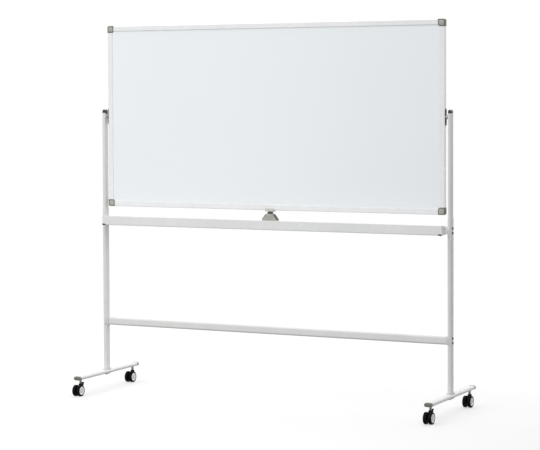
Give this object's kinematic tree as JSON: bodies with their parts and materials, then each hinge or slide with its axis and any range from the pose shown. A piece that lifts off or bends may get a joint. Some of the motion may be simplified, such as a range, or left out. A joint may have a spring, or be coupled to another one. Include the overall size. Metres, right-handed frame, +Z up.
{
  "type": "rolling whiteboard",
  "caption": "Double-sided magnetic whiteboard that flips end over end in a wheeled tubular stand, with a pen tray, a board lock and braked swivel casters.",
  "frame": {"origin": "on the floor, below the middle of the board, at the centre of the stand's footprint", "axes": "+X along the board towards the right-hand post as seen from the tray side, +Y from the tray side to the back, +Z up"},
  "size_m": [1.889, 0.5835, 1.823],
  "materials": {
    "stand_paint": "satin powder coat",
    "tray_paint": "satin powder coat",
    "saddle_grey": "moulded, matt",
    "end_white": "moulded, satin",
    "black_plastic": "moulded, matt",
    "black_gloss": "moulded, glossy",
    "nylon_white": "moulded nylon",
    "black_steel": "black oxide",
    "foot_cap_grey": "moulded, matt",
    "zinc_steel": "zinc plated",
    "lock_grey": "moulded, matt",
    "lock_dark": "moulded, matt",
    "lock_light": "moulded, satin",
    "board_core": "fibreboard, unfinished",
    "writing_steel": "gloss enamel, magnetic",
    "frame_white": "white lacquered aluminium",
    "corner_grey": "moulded, matt",
    "wheel_tread": "moulded tread",
    "hub_white": "moulded, satin"
  },
  "bodies": {
    "stand": {"post_lower_left": "stand_paint", "post_lower_right": "stand_paint", "post_upper_left": "stand_paint", "post_upper_right": "stand_paint", "post_caps": "black_gloss", "pivot_bushes": "nylon_white", "tray_beam": "tray_paint", "tray_front_rail": "tray_paint", "tray_rear_rail": "tray_paint", "tray_end_left": "end_white", "tray_end_right": "end_white", "crossbar": "stand_paint", "crossbar_ends": "saddle_grey", "post_bolts": "black_steel", "foot_left": "stand_paint", "foot_right": "stand_paint", "foot_caps": "foot_cap_grey", "foot_sockets": "saddle_grey", "foot_bolts": "black_steel", "caster_stems": "zinc_steel", "lock_housing": "lock_grey", "lock_guide": "lock_dark", "lock_screws": "zinc_steel"},
    "board": {"board_core": "board_core", "face_front": "writing_steel", "face_back": "writing_steel", "frame_top": "frame_white", "frame_bottom": "frame_white", "frame_left": "frame_white", "frame_right": "frame_white", "corner_top_left": "corner_grey", "corner_top_right": "corner_grey", "corner_bottom_left": "corner_grey", "corner_bottom_right": "corner_grey", "pivot_plates": "black_steel", "pivot_pins": "zinc_steel", "pivot_washers": "nylon_white", "plate_screws": "zinc_steel", "lock_catch": "lock_light", "catch_screws": "zinc_steel"},
    "lock_slider": {"lock_pin": "zinc_steel", "lock_lever": "lock_dark"},
    "caster_front_left": {"fork_front_left": "black_plastic", "axle_front_left": "zinc_steel"},
    "wheel_front_left_outer": {"wheel_front_left_outer": "wheel_tread"},
    "wheel_front_left_inner": {"wheel_front_left_inner": "wheel_tread"},
    "caster_front_right": {"fork_front_right": "black_plastic", "axle_front_right": "zinc_steel"},
    "wheel_front_right_outer": {"wheel_front_right_outer": "wheel_tread"},
    "wheel_front_right_inner": {"wheel_front_right_inner": "wheel_tread"},
    "caster_rear_left": {"fork_rear_left": "black_plastic", "axle_rear_left": "zinc_steel"},
    "wheel_rear_left_outer": {"wheel_rear_left_outer": "wheel_tread"},
    "wheel_rear_left_inner": {"wheel_rear_left_inner": "wheel_tread"},
    "caster_rear_right": {"fork_rear_right": "black_plastic", "axle_rear_right": "zinc_steel"},
    "wheel_rear_right_outer": {"wheel_rear_right_outer": "wheel_tread"},
    "wheel_rear_right_inner": {"wheel_rear_right_inner": "wheel_tread"},
    "brake_front_left": {"brake_lever_left": "black_plastic"},
    "brake_front_right": {"brake_lever_right": "black_plastic"}
  },
  "joints": [
    {"name": "board_flip", "type": "hinge", "parent": "stand", "child": "board", "pos_m": [0, 0, 1.373], "axis": [1, 0, 0], "continuous": true},
    {"name": "lock_slide", "type": "slide", "parent": "stand", "child": "lock_slider", "axis": [0, 0, 1], "range_m": [0, 0.008]},
    {"name": "caster_front_left_swivel", "type": "hinge", "parent": "stand", "child": "caster_front_left", "pos_m": [-0.924, -0.25, 0.055], "axis": [0, 0, 1], "continuous": true},
    {"name": "wheel_front_left_outer_spin", "type": "hinge", "parent": "caster_front_left", "child": "wheel_front_left_outer", "pos_m": [-0.9368, -0.271, 0.0275], "axis": [1, 0, 0], "continuous": true},
    {"name": "wheel_front_left_inner_spin", "type": "hinge", "parent": "caster_front_left", "child": "wheel_front_left_inner", "pos_m": [-0.9112, -0.271, 0.0275], "axis": [1, 0, 0], "continuous": true},
    {"name": "caster_front_right_swivel", "type": "hinge", "parent": "stand", "child": "caster_front_right", "pos_m": [0.924, -0.25, 0.055], "axis": [0, 0, 1], "continuous": true},
    {"name": "wheel_front_right_outer_spin", "type": "hinge", "parent": "caster_front_right", "child": "wheel_front_right_outer", "pos_m": [0.9368, -0.271, 0.0275], "axis": [1, 0, 0], "continuous": true},
    {"name": "wheel_front_right_inner_spin", "type": "hinge", "parent": "caster_front_right", "child": "wheel_front_right_inner", "pos_m": [0.9112, -0.271, 0.0275], "axis": [1, 0, 0], "continuous": true},
    {"name": "caster_rear_left_swivel", "type": "hinge", "parent": "stand", "child": "caster_rear_left", "pos_m": [-0.924, 0.25, 0.055], "axis": [0, 0, 1], "continuous": true},
    {"name": "wheel_rear_left_outer_spin", "type": "hinge", "parent": "caster_rear_left", "child": "wheel_rear_left_outer", "pos_m": [-0.9368, 0.229, 0.0275], "axis": [1, 0, 0], "continuous": true},
    {"name": "wheel_rear_left_inner_spin", "type": "hinge", "parent": "caster_rear_left", "child": "wheel_rear_left_inner", "pos_m": [-0.9112, 0.229, 0.0275], "axis": [1, 0, 0], "continuous": true},
    {"name": "caster_rear_right_swivel", "type": "hinge", "parent": "stand", "child": "caster_rear_right", "pos_m": [0.924, 0.25, 0.055], "axis": [0, 0, 1], "continuous": true},
    {"name": "wheel_rear_right_outer_spin", "type": "hinge", "parent": "caster_rear_right", "child": "wheel_rear_right_outer", "pos_m": [0.9368, 0.229, 0.0275], "axis": [1, 0, 0], "continuous": true},
    {"name": "wheel_rear_right_inner_spin", "type": "hinge", "parent": "caster_rear_right", "child": "wheel_rear_right_inner", "pos_m": [0.9112, 0.229, 0.0275], "axis": [1, 0, 0], "continuous": true},
    {"name": "brake_front_left_press", "type": "hinge", "parent": "caster_front_left", "child": "brake_front_left", "pos_m": [-0.924, -0.23846, 0.04267], "axis": [1, 0, 0], "range_deg": [-12, 0]},
    {"name": "brake_front_right_press", "type": "hinge", "parent": "caster_front_right", "child": "brake_front_right", "pos_m": [0.924, -0.23846, 0.04267], "axis": [1, 0, 0], "range_deg": [-12, 0]}
  ]
}
